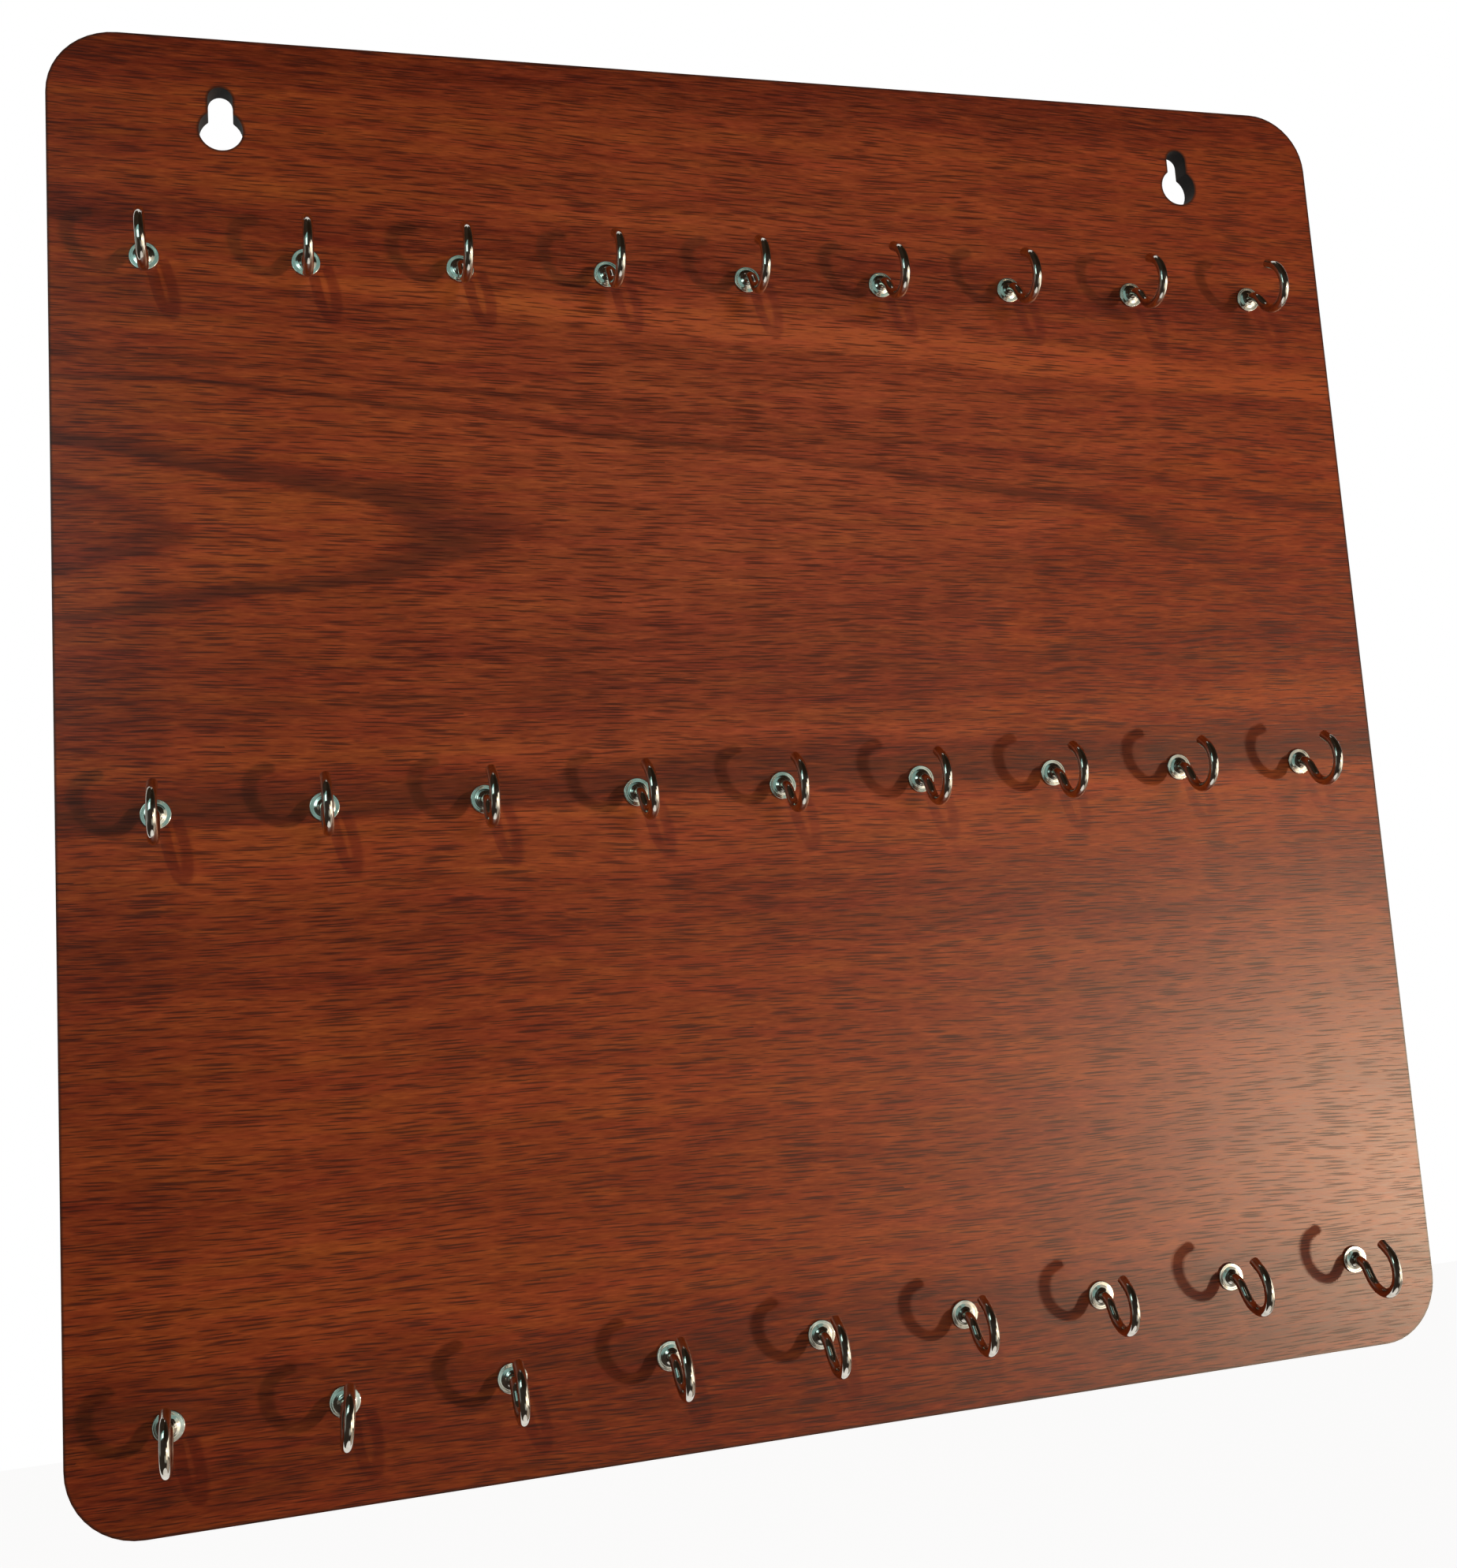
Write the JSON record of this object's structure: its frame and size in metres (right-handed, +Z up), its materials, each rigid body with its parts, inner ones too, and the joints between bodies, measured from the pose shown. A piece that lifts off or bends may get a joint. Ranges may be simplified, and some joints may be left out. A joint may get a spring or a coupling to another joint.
{
  "type": "hook board",
  "caption": "Square wood-grain wall board with rows of small plated cup hooks and keyhole slots to hang it by.",
  "frame": {"origin": "middle of the board's back face, which lies on the wall", "axes": "+Z up, -Y out of the front, where the hooks are, and +X to the right as seen from the front"},
  "size_m": [0.305, 0.0214, 0.305],
  "materials": {
    "board_core": "matt, charred where it was cut",
    "front_laminate": "semi-matt red-brown wood-grain laminate",
    "hook_wire": "bright nickel plate on steel wire",
    "collar": "bright nickel plate on pressed steel"
  },
  "bodies": {
    "root": {"board_core": "board_core", "front_laminate": "front_laminate", "hook_r1_c1": "hook_wire", "hook_r1_c2": "hook_wire", "hook_r1_c3": "hook_wire", "hook_r1_c4": "hook_wire", "hook_r1_c5": "hook_wire", "hook_r1_c6": "hook_wire", "hook_r1_c7": "hook_wire", "hook_r1_c8": "hook_wire", "hook_r1_c9": "hook_wire", "hook_r2_c1": "hook_wire", "hook_r2_c2": "hook_wire", "hook_r2_c3": "hook_wire", "hook_r2_c4": "hook_wire", "hook_r2_c5": "hook_wire", "hook_r2_c6": "hook_wire", "hook_r2_c7": "hook_wire", "hook_r2_c8": "hook_wire", "hook_r2_c9": "hook_wire", "hook_r3_c1": "hook_wire", "hook_r3_c2": "hook_wire", "hook_r3_c3": "hook_wire", "hook_r3_c4": "hook_wire", "hook_r3_c5": "hook_wire", "hook_r3_c6": "hook_wire", "hook_r3_c7": "hook_wire", "hook_r3_c8": "hook_wire", "hook_r3_c9": "hook_wire", "collar_r1_c1": "collar", "collar_r1_c2": "collar", "collar_r1_c3": "collar", "collar_r1_c4": "collar", "collar_r1_c5": "collar", "collar_r1_c6": "collar", "collar_r1_c7": "collar", "collar_r1_c8": "collar", "collar_r1_c9": "collar", "collar_r2_c1": "collar", "collar_r2_c2": "collar", "collar_r2_c3": "collar", "collar_r2_c4": "collar", "collar_r2_c5": "collar", "collar_r2_c6": "collar", "collar_r2_c7": "collar", "collar_r2_c8": "collar", "collar_r2_c9": "collar", "collar_r3_c1": "collar", "collar_r3_c2": "collar", "collar_r3_c3": "collar", "collar_r3_c4": "collar", "collar_r3_c5": "collar", "collar_r3_c6": "collar", "collar_r3_c7": "collar", "collar_r3_c8": "collar", "collar_r3_c9": "collar"}
  },
  "joints": []
}
